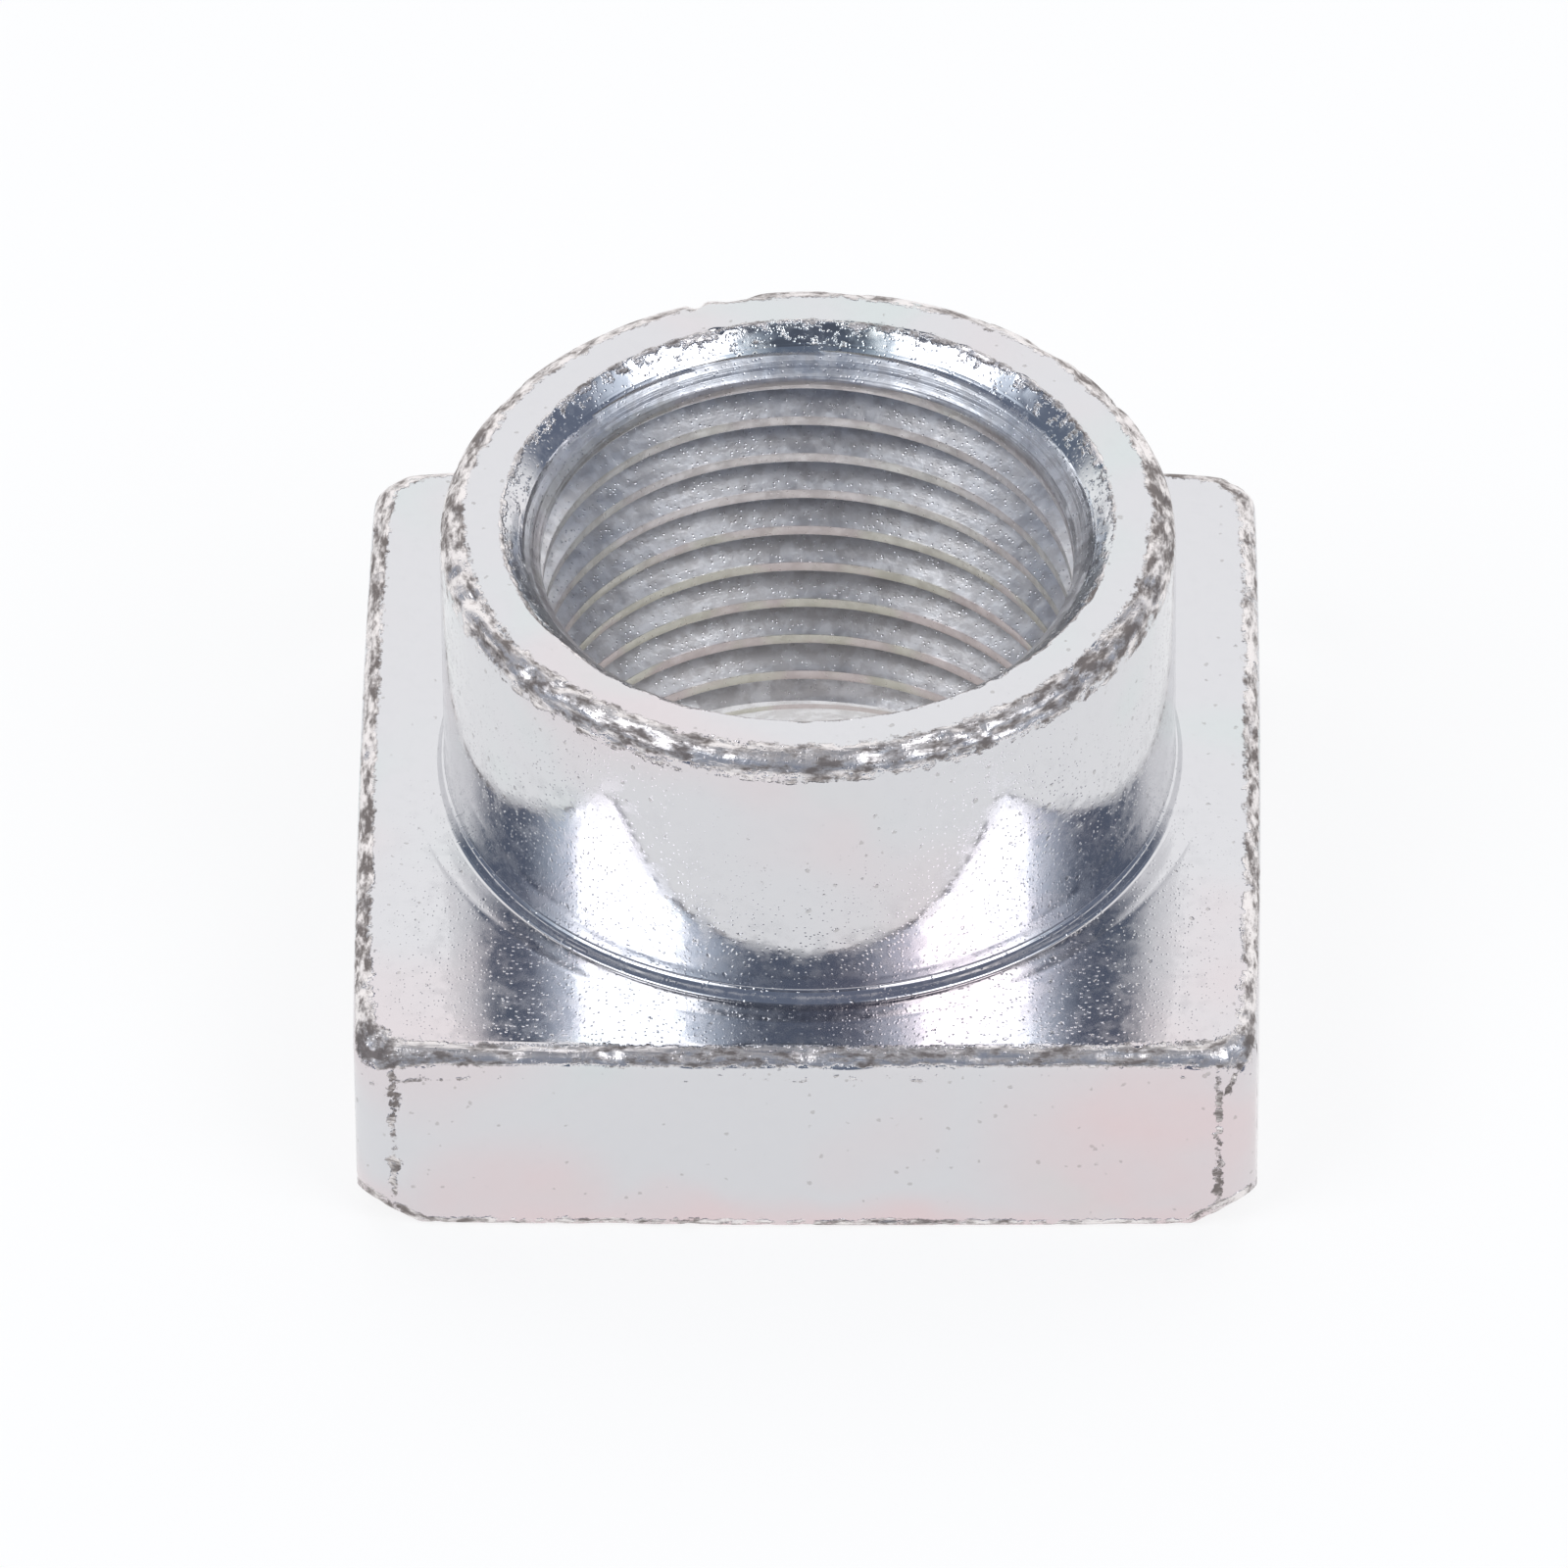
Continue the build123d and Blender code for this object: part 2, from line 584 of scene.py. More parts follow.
class Thread:
    """The internal thread, in rows that climb with the helix, and the cones at its two ends."""

    # Turn share from the crest's lower edge, and how deep the groove is there, from crest 0 to root 1.
    PROFILE = (
        (0.020, 0.00),
        (0.242, 0.00),
        (0.256, 0.04),
        (0.290, 0.15),
        (0.410, 0.52),
        (0.555, 0.98),
        (0.625, 1.00),
        (0.700, 0.96),
        (0.975, 0.08),
    )
    # How strongly each of those places is tinted rose or olive and darkened, the darkening being painted
    # shade.
    SHADES = (0.9, 0.8, 0.15, 0.0, 0.0, 0.0, 0.0, 0.0, 0.1)
    # Rows nearer than this to the outer rings are cut off, and how uneven the thread is, in millimetres.
    END_GAP = 0.02
    WOBBLE = 0.006

    def __init__(self, sizes: NutSizes, columns: Columns) -> None:
        """Keeps the sizes and takes every second column."""
        self.sizes = sizes
        self.angles = np.unwrap(columns.angles[::2])

    def envelope(self, height: Array) -> Array:
        """Gives the least radius at a height, which the lead-in and the countersink set.

        Args:
            height: z of the points.

        Returns:
            The radius for each, in millimetres.
        """
        sizes = self.sizes
        slope = (sizes.mouth - sizes.crest) / sizes.shaft_bottom
        countersink = sizes.crest + (sizes.shaft_bottom - height) * slope
        return np.maximum(sizes.lead_in_radius(height), countersink)

    def rows(self) -> tuple[Array, Array]:
        """Lays out every row, before the ends are cut off.

        Returns:
            Radius and height of the points, each as rows by columns.
        """
        sizes = self.sizes
        turns = math.ceil(sizes.height / sizes.pitch) + 2
        shares = np.array([turn + share for turn in range(-turns, 2) for share, _ in self.PROFILE])
        depths = np.array([depth for _ in range(-turns, 2) for _, depth in self.PROFILE])
        start = sizes.height - sizes.first_crest_depth
        lift = (self.angles - math.pi / 2) / (2 * math.pi)
        height = start + sizes.pitch * (shares[:, None] + lift[None, :])
        fade = smooth(sizes.shaft_top, sizes.shaft_top - sizes.run_out, height)
        fade = fade * smooth(sizes.shaft_bottom, sizes.shaft_bottom + sizes.run_out, height)
        radius = sizes.crest + (sizes.root - sizes.crest) * depths[:, None] * fade
        return radius, height

    def tint_and_painted_shade(self, height: Array) -> Array:
        """How much rose or olive tint and painted shade each point of the rows gets: most on the crests'
        lower edges, and more deep in the bore, where the painted shade stands in for the hollow's shade.
        """
        shades = np.resize(np.array(self.SHADES), len(height))
        return shades[:, None] * (0.45 + 0.55 * smooth(12.5, 7.5, height))

    def turned(self, height: Array) -> Array:
        """How plainly the lathe's lines show: most on the lead-in, which no thread crosses."""
        return 2.0 + 18.0 * smooth(self.sizes.shaft_top - 0.45, self.sizes.shaft_top - 0.1, height)

    def build(self) -> tuple[Array, Array]:
        """Points of the helical rows.

        Returns:
            The points as rows by columns, and for each point where it lies between the nut's ends.
        """
        sizes = self.sizes
        radius, height = self.rows()
        above = np.where(height >= sizes.seam_height - self.END_GAP, RowEnd.ABOVE, RowEnd.WITHIN)
        end = np.where(height <= self.END_GAP, RowEnd.BELOW, above)
        radius = np.maximum(radius, self.envelope(height))
        places = np.stack([radius * np.cos(self.angles), radius * np.sin(self.angles), height], axis=2)
        wobble = grain(places, 1.1, 31) * self.WOBBLE
        out = np.stack([np.cos(self.angles), np.sin(self.angles), np.zeros_like(self.angles)], axis=1)
        return places + out[None] * wobble[..., None], end


class NutMesh:
    """The nut as one closed mesh."""

    def __init__(self, sizes: NutSizes) -> None:
        """Keeps the sizes and lays out the columns."""
        self.sizes = sizes
        self.columns = Columns(sizes)

    def outer(self) -> tuple[Array, dict[str, Array]]:
        """Builds the rings outside the bore.

        Returns:
            Their points, and what the finish reads there, by its name.
        """
        rings = Rings()
        Flange(self.sizes, self.columns).build(rings)
        Collar(self.sizes, self.columns).build(rings)
        places, wear, turned, knocked = rings.stacked()
        across = EdgeRelief.across(places)
        places, knocked = EdgeRelief().press(places, wear, knocked)
        return places, {"edge_wear": wear, "turned": turned, "across": across, "knocked": knocked}

    @staticmethod
    def clean(faces: Array) -> list[tuple[int, ...]]:
        """Drops repeated corners, and the faces that have lost their area.

        Args:
            faces: Four point numbers for each face.

        Returns:
            The faces that are left, with three or four corners.
        """
        kept = []
        for face in faces.tolist():
            corners = [c for place, c in enumerate(face) if c != face[place - 1]]
            if len(set(corners)) >= 3 and len(set(corners)) == len(corners):
                kept.append(tuple(corners))
        return kept

    def build(self) -> bpy.types.Object:
        """Builds the mesh and its attributes.

        Returns:
            The new object, with its mesh in metres.
        """
        places, looks = self.outer()
        rings, count = places.shape[:2]
        index = np.arange(rings * count).reshape(rings, count)
        after = np.roll(index, -1, axis=1)
        faces = np.stack([index[:-1], after[:-1], after[1:], index[1:]], axis=-1).reshape(-1, 4)

        thread = Thread(self.sizes, self.columns)
        helix, end = thread.build()
        top, bottom = index[-1, ::2], index[0, ::2]
        ids = np.where(end == RowEnd.ABOVE, top[None, :], np.where(end == RowEnd.BELOW, bottom[None, :], 0))
        inner = end == RowEnd.WITHIN
        ids[inner] = rings * count + np.arange(inner.sum())
        turned_on = np.minimum(np.arange(len(ids)) + len(thread.PROFILE), len(ids) - 1)
        onward = np.concatenate([ids[:, 1:], ids[turned_on, :1]], axis=1)
        bore = np.stack([ids[:-1], onward[:-1], onward[1:], ids[1:]], axis=-1).reshape(-1, 4)

        middle = index[:, 1::2]
        ahead = np.roll(index[:, ::2], -1, axis=1)
        seams = [
            np.stack([top, middle[-1], ahead[-1]], axis=-1),
            np.stack([ahead[0], middle[0], bottom], axis=-1),
        ]
        listed = self.clean(faces) + self.clean(bore)
        listed += [tuple(face) for seam in seams for face in seam.tolist()]
        points = np.concatenate([places.reshape(-1, 3), helix[inner]]) * MM
        mesh = bpy.data.meshes.new("threaded_nut")
        mesh.from_pydata(points.tolist(), [], listed)
        # Rose and olive tint on the thread, partly painted shade: darker on the crests' lower edges and
        # deeper in the bore.
        tint_and_painted_shade = thread.tint_and_painted_shade(helix[..., 2])[inner]
        outside, within = np.zeros(rings * count), np.ones(inner.sum())
        self.attach(mesh, "edge_wear", looks["edge_wear"], within * 0.0)
        self.attach(mesh, "knocked", looks["knocked"], within * 0.0)
        self.attach(mesh, "turned", looks["turned"], thread.turned(helix[inner][:, 2]))
        self.attach(mesh, "across", looks["across"], helix[inner][:, 2])
        self.attach(mesh, "in_bore", outside, within)
        self.attach(mesh, "tint_and_painted_shade", outside, tint_and_painted_shade)
        mesh.polygons.foreach_set("use_smooth", np.ones(len(mesh.polygons), dtype=bool))
        mesh.set_sharp_from_angle(angle=math.radians(50))
        mesh.validate()
        mesh.update()
        piece = bpy.data.objects.new("threaded_nut", mesh)
        bpy.context.scene.collection.objects.link(piece)
        return piece

    @staticmethod
    def attach(mesh: bpy.types.Mesh, name: str, outside: Array, within: Array) -> None:
        """Writes one number for each point, on the rings and then on the thread's rows."""
        attribute = mesh.attributes.new(name, "FLOAT", "POINT")
        attribute.data.foreach_set("value", np.concatenate([outside.ravel(), within]).astype(np.float32))


class Nodes:
    """Short calls for making and joining a material's nodes."""

    def __init__(self, tree: bpy.types.NodeTree) -> None:
        """Empties the node tree of a material or a world."""
        self.tree = tree
        tree.nodes.clear()

    def add(
        self, kind: str, inputs: dict[str | int, object] | None = None, **settings: object
    ) -> bpy.types.Node:
        """Adds a node.

        Args:
            kind: Blender's name for its type.
            inputs: Values or sockets for its inputs, by name or number.
            **settings: Its own settings.

        Returns:
            The node.
        """
        node = self.tree.nodes.new(kind)
        for name, value in settings.items():
            setattr(node, name, value)
        for name, value in (inputs or {}).items():
            if isinstance(value, Socket):
                self.tree.links.new(value, node.inputs[name])
            else:
                node.inputs[name].default_value = value
        return node

    def maths(self, operation: str, *values: object) -> Socket:
        """Result of a sum, product or other operation on numbers or sockets."""
        node = self.add("ShaderNodeMath", dict(enumerate(values)), operation=operation)
        return node.outputs[0]

    def step(self, value: object, low: float, high: float, start: float = 0.0, end: float = 1.0) -> Socket:
        """Adds a soft step of a value.

        Args:
            value: A number or a socket.
            low: Where the step begins.
            high: Where it ends. It may lie below low.
            start: Result up to low.
            end: Result beyond high.

        Returns:
            The step's socket.
        """
        inputs = {"Value": value, "From Min": low, "From Max": high, "To Min": start, "To Max": end}
        node = self.add("ShaderNodeMapRange", inputs, interpolation_type="SMOOTHSTEP")
        return node.outputs["Result"]

    def attribute(self, name: str) -> Socket:
        """One number that the mesh carries at each point."""
        return self.add("ShaderNodeAttribute", attribute_name=name).outputs["Fac"]

    def scaled(self, place: object, x: float, y: float, z: float) -> Socket:
        """A place with each of its parts multiplied."""
        return self.add("ShaderNodeVectorMath", {0: place, 1: (x, y, z)}, operation="MULTIPLY").outputs[0]

    def noise(self, place: object, scale: float, detail: float = 2.0, rough: float = 0.5) -> Socket:
        """Random field with features of about one over scale."""
        inputs = {"Vector": place, "Scale": scale, "Detail": detail, "Roughness": rough}
        return self.add("ShaderNodeTexNoise", inputs).outputs["Fac"]

    def blend(self, share: object, first: object, second: object) -> Socket:
        """Mixes two colours.

        Args:
            share: How much of the second, from 0 to 1.
            first: A colour or a socket.
            second: The other.

        Returns:
            The mix's socket.
        """
        node = self.add("ShaderNodeMix", data_type="RGBA")
        for socket, value in ((node.inputs[0], share), (node.inputs[6], first), (node.inputs[7], second)):
            if isinstance(value, Socket):
                self.tree.links.new(value, socket)
            else:
                socket.default_value = value
        return node.outputs[2]


def colour(red: float, green: float, blue: float) -> Colour:
    """An opaque colour, in linear light."""
    return (red, green, blue, 1.0)


class ZincFields:
    """The fields that several parts of the finish share, over places in millimetres."""

    def __init__(self, nodes: Nodes) -> None:
        """Makes the fields.

        Args:
            nodes: The material's nodes.
        """
        self.nodes = nodes
        place = nodes.add("ShaderNodeTexCoord").outputs["Object"]
        self.place = nodes.scaled(place, 1 / MM, 1 / MM, 1 / MM)
        self.streaks = nodes.noise(self.drawn(0.45, 3.4), 1.0, 3.0, 0.6)
        self.fine = nodes.noise(self.place, 2.4, 3.0, 0.68)
        broad = nodes.maths("SUBTRACT", nodes.noise(self.place, 0.4, 1.0), 0.5)
        tone = nodes.noise(self.drawn(1.3, 3.0), 1.0, 4.0, 0.7)
        tone = nodes.maths("MULTIPLY_ADD", broad, 0.35, tone)
        tone = nodes.maths("MULTIPLY_ADD", nodes.attribute("knocked"), -0.09, tone)
        self.tone = nodes.step(tone, 0.355, 0.605)
        self.scuffs = self.scuffed()
        self.specks = self.pitted()
        self.grains = self.grained()

    def drawn(self, along: float, across: float) -> Socket:
        """Stretches places along the rings.

        Args:
            along: Features in a millimetre along the rings.
            across: Features in a millimetre across them.

        Returns:
            The stretched places.
        """
        nodes = self.nodes
        way = nodes.add("ShaderNodeSeparateXYZ", {0: self.place})
        parts = {
            0: nodes.maths("MULTIPLY", way.outputs[0], along),
            1: nodes.maths("MULTIPLY", way.outputs[1], along),
            2: nodes.maths("MULTIPLY", nodes.attribute("across"), across),
        }
        return nodes.add("ShaderNodeCombineXYZ", parts).outputs[0]

    def scuffed(self) -> Socket:
        """Says where an edge is scuffed, in ragged patches drawn out along it.

        Returns:
            The scuffs, from 0 to 1.
        """
        nodes = self.nodes
        ragged = nodes.maths("MULTIPLY_ADD", self.streaks, 0.35, nodes.maths("MULTIPLY", self.fine, 0.65))
        edges = nodes.maths("MULTIPLY_ADD", nodes.attribute("edge_wear"), 0.42, ragged)
        lumps = nodes.maths("MULTIPLY_ADD", nodes.attribute("knocked"), 0.5, self.fine)
        return nodes.maths("MAXIMUM", nodes.step(edges, 0.78, 0.90), nodes.step(lumps, 0.82, 0.94))

    def cells(self, scale: float, share: float) -> tuple[Socket, Socket]:
        """Scatters cells.

        Args:
            scale: Cells in a millimetre.
            share: How many of the cells are chosen, from 0 to 1.

        Returns:
            Distance from a cell's middle, in cells, and 1 in a chosen cell.
        """
        cell = self.nodes.add("ShaderNodeTexVoronoi", {"Vector": self.place, "Scale": scale})
        pick = self.nodes.add("ShaderNodeSeparateColor", {0: cell.outputs["Color"]}).outputs[0]
        return cell.outputs["Distance"], self.nodes.maths("LESS_THAN", pick, share)

    def pitted(self) -> Socket:
        """Scatters small dark pits outside the bore.

        Returns:
            The pits, from 0 to 1.
        """
        nodes = self.nodes
        away, chosen = self.cells(2.3, 0.5)
        away = nodes.maths("MULTIPLY_ADD", nodes.maths("SUBTRACT", self.fine, 0.5), 0.9, away)
        outside = nodes.maths("SUBTRACT", 1.0, nodes.attribute("in_bore"))
        picked = nodes.maths("MULTIPLY", chosen, outside)
        return nodes.maths("MULTIPLY", nodes.step(away, 0.15, 0.03), picked)

    def grained(self) -> Socket:
        """Scatters raised bright grains in the plate, from 0 to 1."""
        away, chosen = self.cells(7.5, 0.55)
        return self.nodes.maths("MULTIPLY", self.nodes.step(away, 0.36, 0.0), chosen)

    def patch(self, middle: tuple[float, float, float], reach: float) -> Socket:
        """A soft round patch, from 0 at its reach in millimetres to 1 at its middle."""
        away = self.nodes.add("ShaderNodeVectorMath", {0: self.place, 1: middle}, operation="DISTANCE")
        return self.nodes.step(away.outputs["Value"], reach, reach * 0.3)


@dataclass(frozen=True)
class ZincFinish:
    """Bright zinc plate: a soft mirror with faint tints, bright grains, dark specks and scuffed edges."""

    name: str = "bright_zinc"
    plate: Colour = colour(0.68, 0.68, 0.70)
    pink: Colour = colour(0.74, 0.62, 0.63)
    green: Colour = colour(0.63, 0.70, 0.69)
    scuffed_dark: Colour = colour(0.26, 0.23, 0.22)
    scuffed_light: Colour = colour(0.86, 0.82, 0.81)
    speck: Colour = colour(0.30, 0.28, 0.26)
    # Zinc in the bore, painted lighter than the plate outside as painted light that lifts the bore's shaded
    # hollows; its dull patches keep the plate's own tone.
    lightened_bore_zinc: Colour = colour(0.82, 0.82, 0.84)
    dull_lining: Colour = colour(0.68, 0.67, 0.68)
    olive: Colour = colour(0.43, 0.41, 0.33)
    rose: Colour = colour(0.46, 0.38, 0.37)
    bright: float = 0.07
    cloudy: float = 0.24
    scuffed: float = 0.60
    bore: float = 0.51
    grain: float = 0.12

    # Middles and reaches in millimetres of two pink patches on the front side.
    BLUSHES: ClassVar = (((10.5, -14.0, 3.0), 6.5), ((-9.0, -14.0, 0.4), 4.5))

    def build(self) -> bpy.types.Material:
        """Builds the material from nodes.

        Returns:
            The material, ready to be put on a piece.
        """
        material = bpy.data.materials.new(self.name)
        material.use_nodes = True
        nodes = Nodes(material.node_tree)
        fields = ZincFields(nodes)
        shader = nodes.add(
            "ShaderNodeBsdfPrincipled",
            {
                "Base Color": self.tint(fields),
                "Metallic": 1.0,
                "Roughness": self.roughness(fields),
                "Normal": self.relief(fields),
            },
        )
        nodes.add("ShaderNodeOutputMaterial", {"Surface": shader.outputs[0]})
        return material

    def tint(self, fields: ZincFields) -> Socket:
        """Colours the plate, what is scuffed, and the rose and olive tint in the thread, which also darkens
        the thread as painted shade.

        Args:
            fields: The shared fields.

        Returns:
            The colour.
        """
        nodes, place = fields.nodes, fields.place
        height = nodes.add("ShaderNodeSeparateXYZ", {0: place}).outputs[2]
        blush = nodes.step(nodes.noise(place, 0.11, 2.0), 0.50, 0.70, 0.0, 0.4)
        drip = nodes.step(nodes.maths("MULTIPLY_ADD", nodes.noise(place, 0.22, 2.0), 5.0, height), 4.8, 2.2)
        for middle, reach in self.BLUSHES:
            patch = nodes.maths("MULTIPLY", fields.patch(middle, reach), nodes.noise(place, 0.3))
            drip = nodes.maths("MAXIMUM", drip, nodes.maths("MULTIPLY", patch, 1.5))
        pink = nodes.blend(nodes.maths("MAXIMUM", blush, drip), self.plate, self.pink)
        shifted = nodes.add("ShaderNodeVectorMath", {0: place, 1: (40.0, 7.0, 3.0)}).outputs[0]
        greening = nodes.step(nodes.noise(shifted, 0.14, 2.0), 0.54, 0.74, 0.0, 0.6)
        green = nodes.blend(greening, pink, self.green)
        dull = nodes.step(nodes.maths("ADD", fields.fine, nodes.noise(place, 1.6)), 1.15, 0.85)
        # The bore's zinc is painted lighter than the plate outside, as painted light in the hollow, with
        # random dull patches.
        lightened_bore_zinc = nodes.blend(dull, self.lightened_bore_zinc, self.dull_lining)
        lined = nodes.blend(nodes.attribute("in_bore"), green, lightened_bore_zinc)
        scuffed = nodes.blend(fields.tone, self.scuffed_dark, self.scuffed_light)
        worn = nodes.blend(fields.scuffs, lined, scuffed)
        pitted = nodes.blend(nodes.maths("MULTIPLY", fields.specks, 0.38), worn, self.speck)
        # Rose and olive colour that tints the thread and darkens it as painted shade, most deep in the bore.
        rose_olive_painted_shade = nodes.blend(nodes.step(nodes.noise(place, 0.3, 2.0), 0.44, 0.56), self.rose, self.olive)
        return nodes.blend(nodes.maths("MULTIPLY", nodes.attribute("tint_and_painted_shade"), 0.85), pitted, rose_olive_painted_shade)

    def roughness(self, fields: ZincFields) -> Socket:
        """Makes the plate bright with cloudy patches, duller in the bore and where it is scuffed.

        Args:
            fields: The shared fields.

        Returns:
            The roughness.
        """
        nodes = fields.nodes
        cloudy = nodes.noise(fields.place, 1.7, 3.0, 0.6)
        clouds = nodes.step(cloudy, 0.40, 0.66, self.bright, self.cloudy)
        bore = nodes.maths("MULTIPLY_ADD", nodes.attribute("in_bore"), self.bore - self.cloudy, clouds)
        rubbed = nodes.maths("MULTIPLY_ADD", fields.tone, -0.30, self.scuffed)
        change = nodes.maths("SUBTRACT", rubbed, bore)
        worn = nodes.maths("MULTIPLY_ADD", fields.scuffs, change, bore)
        smoother = nodes.maths("MULTIPLY", fields.grains, nodes.maths("SUBTRACT", worn, self.grain))
        return nodes.maths("SUBTRACT", worn, smoother)

    def relief(self, fields: ZincFields) -> Socket:
        """Makes the finest relief, whose heights are in millimetres.

        Args:
            fields: The shared fields.

        Returns:
            The normal.
        """
        nodes = fields.nodes
        way = nodes.add("ShaderNodeSeparateXYZ", {0: fields.place})
        flat = nodes.add("ShaderNodeCombineXYZ", {0: way.outputs[0], 1: way.outputs[1]}).outputs[0]
        radius = nodes.add("ShaderNodeVectorMath", {0: flat}, operation="LENGTH").outputs["Value"]
        ring = nodes.add("ShaderNodeCombineXYZ", {0: radius, 1: way.outputs[2]}).outputs[0]
        lines = nodes.maths("MULTIPLY", nodes.noise(ring, 2.4, 3.0, 0.65), nodes.attribute("turned"))
        dents = nodes.maths("MULTIPLY_ADD", fields.streaks, 1.5, fields.fine)
        dents = nodes.maths("MULTIPLY", dents, fields.scuffs)
        coarse = nodes.maths("MULTIPLY_ADD", nodes.attribute("in_bore"), 0.010, 0.0022)
        height = nodes.maths("MULTIPLY", nodes.noise(fields.place, 2.8, 3.0, 0.6), coarse)
        depths = ((fields.grains, 0.008), (lines, 0.0035), (dents, 0.022), (fields.specks, -0.008))
        for share, depth in depths:
            height = nodes.maths("MULTIPLY_ADD", share, depth, height)
        return nodes.add("ShaderNodeBump", {"Height": height, "Distance": MM, "Strength": 1.0}).outputs[0]


@dataclass(frozen=True)
class SoftBox:
    """A soft box that hangs beside the camera, aimed at the nut."""

    name: str
    azimuth: float
    elevation: float = 50.0
    width: float = 0.40
    height: float = 0.43
    power: float = 1.32
    distance: float = 0.8

    def toward(self, facing: float) -> Vector:
        """Direction of length 1 to the box from the nut, where facing is the camera's azimuth from -Y."""
        turn, rise = math.radians(self.azimuth) + facing, math.radians(self.elevation)
        return Vector((math.sin(turn) * math.cos(rise), -math.cos(turn) * math.cos(rise), math.sin(rise)))

    def build(self, facing: float) -> None:
        """Hangs the box.

        Args:
            facing: The camera's azimuth about the nut, in radians from -Y.
        """
        light = bpy.data.lights.new(self.name, "AREA")
        light.shape = "RECTANGLE"
        light.size, light.size_y = self.width, self.height
        light.energy = self.power
        lamp = bpy.data.objects.new(self.name, light)
        back = self.toward(facing)
        lamp.location = back * self.distance
        lamp.rotation_mode = "QUATERNION"
        lamp.rotation_quaternion = (-back).to_track_quat("-Z", "Y")
        lamp.visible_camera = False
        bpy.context.scene.collection.objects.link(lamp)


class Studio:
    """The pale floor, the two soft boxes beside the camera and the white tent behind the nut."""

    # Half the floor's width in metres, and how brightly it is lit from below.
    HALF_FLOOR = 3.0
    FLOOR_GLOW = 0.81
    # Light of the tent: dim at the camera's side, dimmer higher up, white behind, and aglow round the boxes.
    DIM = colour(0.158, 0.188, 0.258)
    DIMMER = colour(0.10, 0.115, 0.155)
    WHITE = colour(1.10, 1.10, 1.11)
    AGLOW = colour(1.00, 1.12, 1.27)

    def __init__(self, facing: float) -> None:
        """Keeps the camera's azimuth about the nut, in radians from -Y, and sets out the boxes."""
        self.facing = facing
        self.boxes = (SoftBox("left_box", -60.0), SoftBox("right_box", 53.0))

    def floor(self) -> None:
        """Lays the pale floor under the nut. It is lit from below too, so the nut throws hardly a shadow."""
        half = self.HALF_FLOOR
        mesh = bpy.data.meshes.new("floor")
        corners = [(-half, -half, 0), (half, -half, 0), (half, half, 0), (-half, half, 0)]
        mesh.from_pydata(corners, [], [(0, 1, 2, 3)])
        material = bpy.data.materials.new("pale_floor")
        material.use_nodes = True
        nodes = Nodes(material.node_tree)
        place = nodes.add("ShaderNodeTexCoord").outputs["Object"]
        shade = nodes.blend(nodes.noise(place, 3.0), colour(0.20, 0.20, 0.20), colour(0.22, 0.22, 0.22))
        inputs = {
            "Base Color": shade,
            "Roughness": 0.9,
            "Specular IOR Level": 0.2,
            "Emission Color": colour(1.0, 1.0, 1.0),
            "Emission Strength": self.FLOOR_GLOW,
        }
        shader = nodes.add("ShaderNodeBsdfPrincipled", inputs)
        nodes.add("ShaderNodeOutputMaterial", {"Surface": shader.outputs[0]})
        mesh.materials.append(material)
        piece = bpy.data.objects.new("floor", mesh)
        bpy.context.scene.collection.objects.link(piece)

    def tent(self) -> None:
        """Makes the surroundings: white behind, dim at the camera's side, and aglow round the boxes."""
        world = bpy.data.worlds.new("tent")
        bpy.context.scene.world = world
        world.use_nodes = True
        nodes = Nodes(world.node_tree)
        looking = nodes.add("ShaderNodeTexCoord").outputs["Generated"]
        way = nodes.add("ShaderNodeSeparateXYZ", {0: looking})
        back, up = way.outputs[1], way.outputs[2]
        higher = nodes.maths("MAXIMUM", nodes.maths("SUBTRACT", up, 0.66), 0.0)
        white = nodes.step(nodes.maths("MULTIPLY_ADD", higher, 1.0, back), 0.37, 0.57)
        dim = nodes.blend(nodes.step(up, 0.68, 0.77), self.DIM, self.DIMMER)
        light = nodes.blend(white, dim, self.WHITE)
        flat = nodes.scaled(looking, 1.0, 1.0, 0.0)
        level = nodes.add("ShaderNodeVectorMath", {0: flat}, operation="NORMALIZE").outputs[0]
        band = nodes.maths("MULTIPLY", nodes.step(up, 0.80, 0.70), nodes.step(up, 0.40, 0.60))
        for box in self.boxes:
            aside = box.toward(self.facing).xy.normalized().to_3d()
            near = nodes.add("ShaderNodeVectorMath", {0: level, 1: aside}, operation="DOT_PRODUCT")
            glow = nodes.maths("POWER", nodes.step(near.outputs["Value"], 0.68, 0.955), 2.0)
            light = nodes.blend(nodes.maths("MULTIPLY", glow, band), light, self.AGLOW)
        seen = nodes.add("ShaderNodeLightPath").outputs["Is Camera Ray"]
        shown = nodes.blend(seen, light, colour(1.0, 1.0, 1.0))
        surround = nodes.add("ShaderNodeBackground", {"Color": shown, "Strength": 1.0})
        nodes.add("ShaderNodeOutputWorld", {"Surface": surround.outputs[0]})

    def build(self) -> None:
        """Builds the floor, the tent and the lights."""
        self.floor()
        self.tent()
        for box in self.boxes:
            box.build(self.facing)


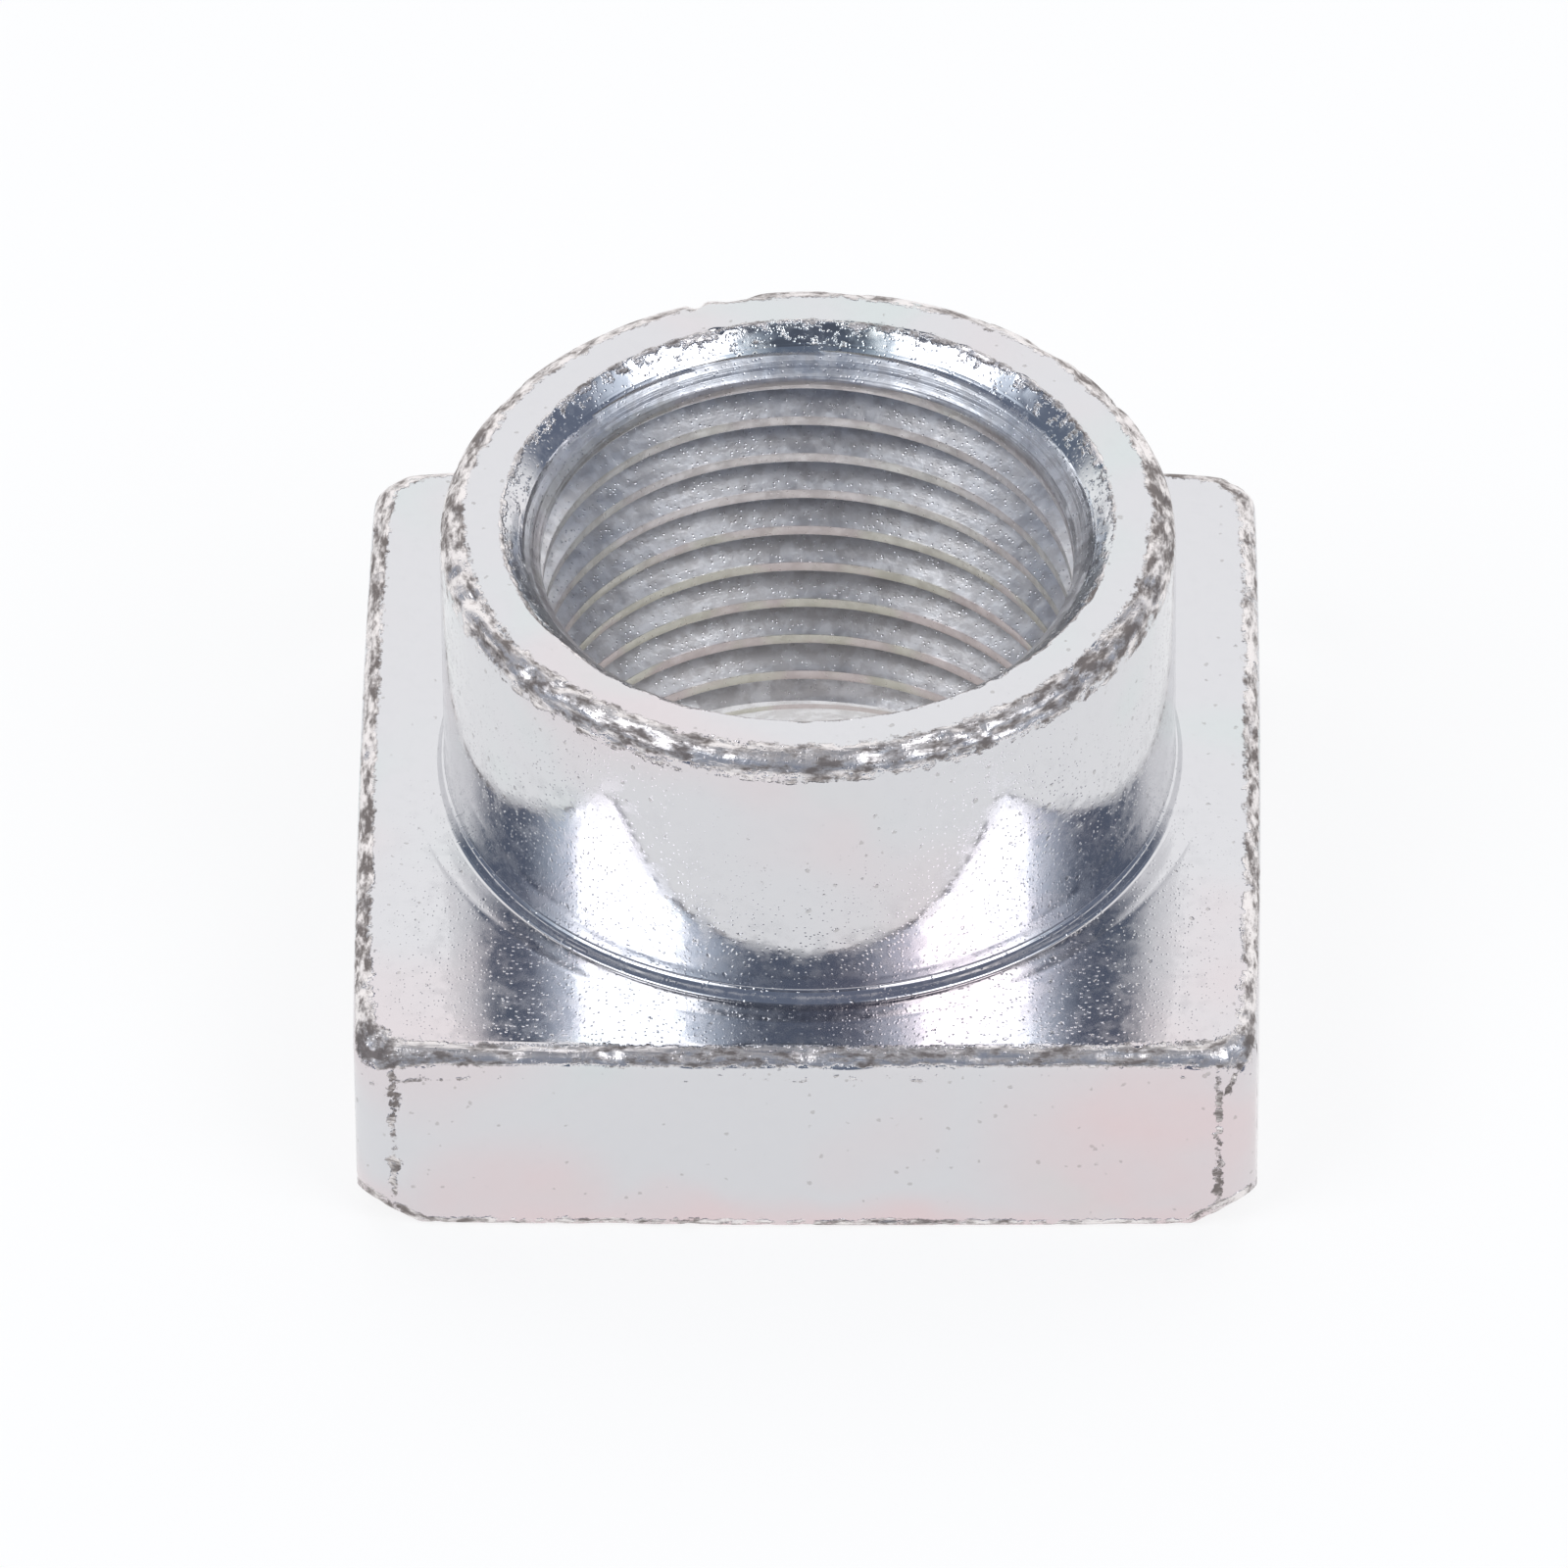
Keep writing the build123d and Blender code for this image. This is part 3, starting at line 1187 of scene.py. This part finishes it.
@dataclass(frozen=True)
class PhotographView:
    """The camera, where the photograph was taken from, in a frame of 1600 by 1600 pixels."""

    distance: float = 0.7364
    elevation: float = 0.7224
    azimuth: float = 0.01967
    roll: float = -0.01099
    aim_x: float = 826.35
    aim_y: float = 771.42
    focal_pixels: float = 24198.6
    frame_pixels: float = 1600.0
    sensor: float = 36.0

    def build(self, aim_height: float) -> None:
        """Sets the camera.

        Args:
            aim_height: Height in metres of the point on the bore's axis that shows at aim_x, aim_y.
        """
        flat = math.cos(self.elevation)
        cosine, sine = math.cos(self.azimuth), math.sin(self.azimuth)
        back = Vector((sine * flat, -cosine * flat, math.sin(self.elevation)))
        level = Vector((cosine, sine, 0.0))
        upright = back.cross(level)
        right = math.cos(self.roll) * level + math.sin(self.roll) * upright
        up = -math.sin(self.roll) * level + math.cos(self.roll) * upright
        middle = self.frame_pixels / 2
        aside = (self.aim_x - middle) / self.focal_pixels * self.distance
        above = (middle - self.aim_y) / self.focal_pixels * self.distance
        place = Vector((0.0, 0.0, aim_height)) + back * self.distance - right * aside - up * above
        data = bpy.data.cameras.new("photograph")
        data.sensor_width = self.sensor
        data.lens = self.focal_pixels / self.frame_pixels * self.sensor
        data.clip_start, data.clip_end = 0.05, 20.0
        camera = bpy.data.objects.new("photograph", data)
        camera.matrix_world = Matrix.Translation(place) @ Matrix((right, up, back)).transposed().to_4x4()
        bpy.context.scene.collection.objects.link(camera)
        bpy.context.scene.camera = camera


def main() -> None:
    """Builds the nut, its finish, the studio and the camera."""
    logging.basicConfig(level=logging.INFO, format="%(message)s")
    sizes = NutSizes.from_frame()
    nut = NutMesh(sizes).build()
    nut.data.materials.append(ZincFinish().build())
    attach(nut, BODY)
    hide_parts(NODE)
    log.info("nut: %d points, %d faces", len(nut.data.vertices), len(nut.data.polygons))
    view = PhotographView()
    Studio(view.azimuth).build()
    view.build(sizes.flange * MM)
    scene = bpy.context.scene
    scene.view_settings.view_transform = "Standard"


if __name__ == "__main__":
    main()
